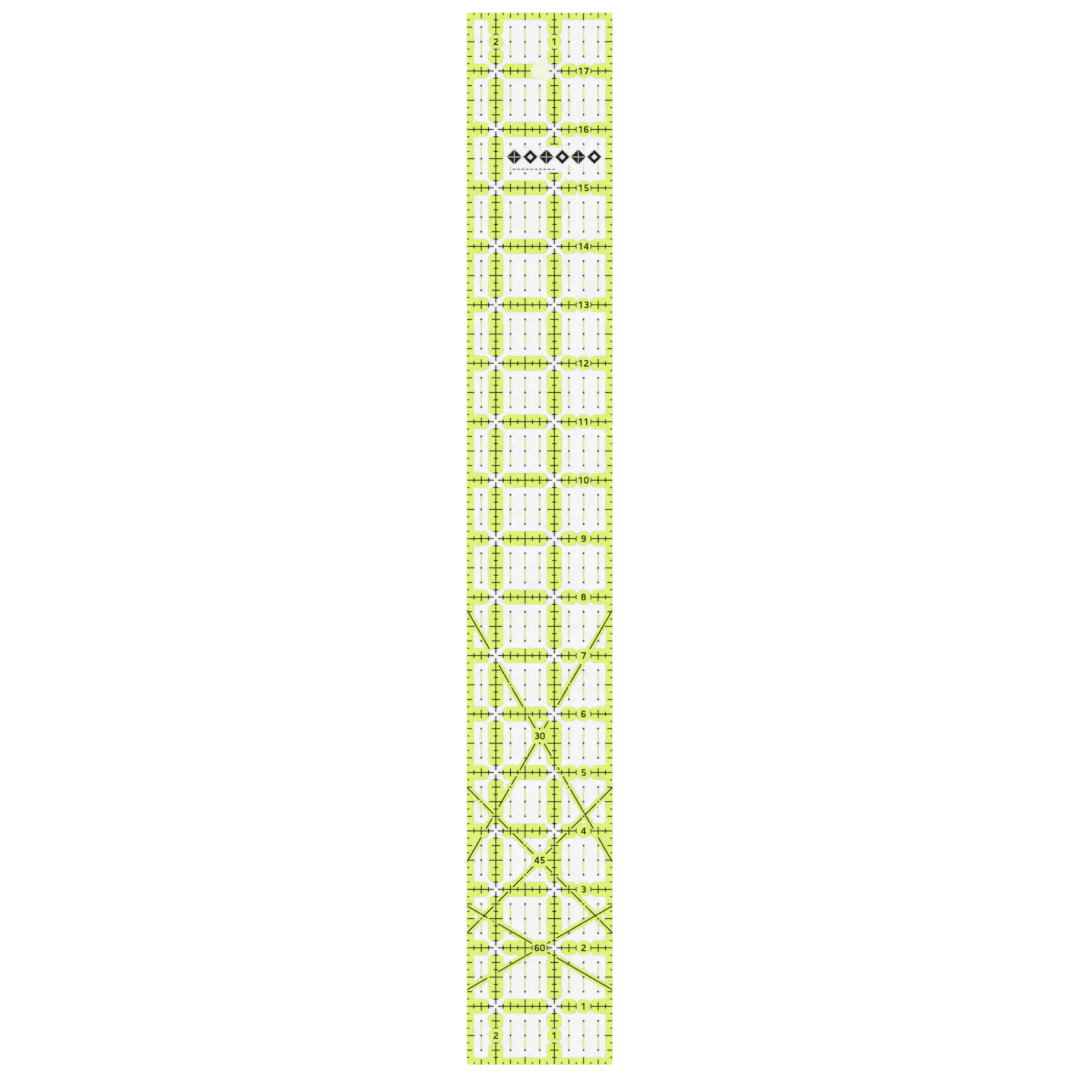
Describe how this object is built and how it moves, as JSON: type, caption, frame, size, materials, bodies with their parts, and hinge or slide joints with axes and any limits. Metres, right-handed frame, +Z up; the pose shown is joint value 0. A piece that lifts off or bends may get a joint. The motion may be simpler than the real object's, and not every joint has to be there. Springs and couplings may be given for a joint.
{
  "type": "quilting ruler",
  "caption": "Long clear acrylic quilting ruler with a lime and black inch grid, angle lines, a frosted non-slip underside and a hanging hole.",
  "frame": {"origin": "on the underside of the grip coat, at the middle of the sheet", "axes": "+Y along the length, towards the end with the hanging hole; +X towards the edge the inch numbers stand by; +Z up through the sheet's thickness, towards the side it is read from"},
  "size_m": [0.0636, 0.4572, 0.0032],
  "materials": {
    "clear_acrylic": "clear, polished, with cut edges",
    "frosted_coat": "frosted, slightly tacky, fine pebble",
    "lime_ink": "flat screen-printed ink, seen through the acrylic",
    "black_ink": "flat screen-printed ink, seen through the acrylic"
  },
  "bodies": {
    "root": {"acrylic_blank": "clear_acrylic", "grip_coat": "frosted_coat", "lime_border": "lime_ink", "lime_crosswise_bands": "lime_ink", "lime_lengthwise_bands": "lime_ink", "lime_number_discs": "lime_ink", "lime_band_30": "lime_ink", "lime_band_45": "lime_ink", "lime_band_60": "lime_ink", "lime_quarter_dashes": "lime_ink", "crosswise_lines": "black_ink", "lengthwise_lines": "black_ink", "left_edge_ticks": "black_ink", "right_edge_ticks": "black_ink", "top_edge_ticks": "black_ink", "bottom_edge_ticks": "black_ink", "quarter_dots": "black_ink", "inch_numbers": "black_ink", "column_numbers": "black_ink", "angle_line_30": "black_ink", "angle_line_45": "black_ink", "angle_line_60": "black_ink", "angle_numbers": "black_ink", "patchwork_strip": "black_ink"}
  },
  "joints": []
}
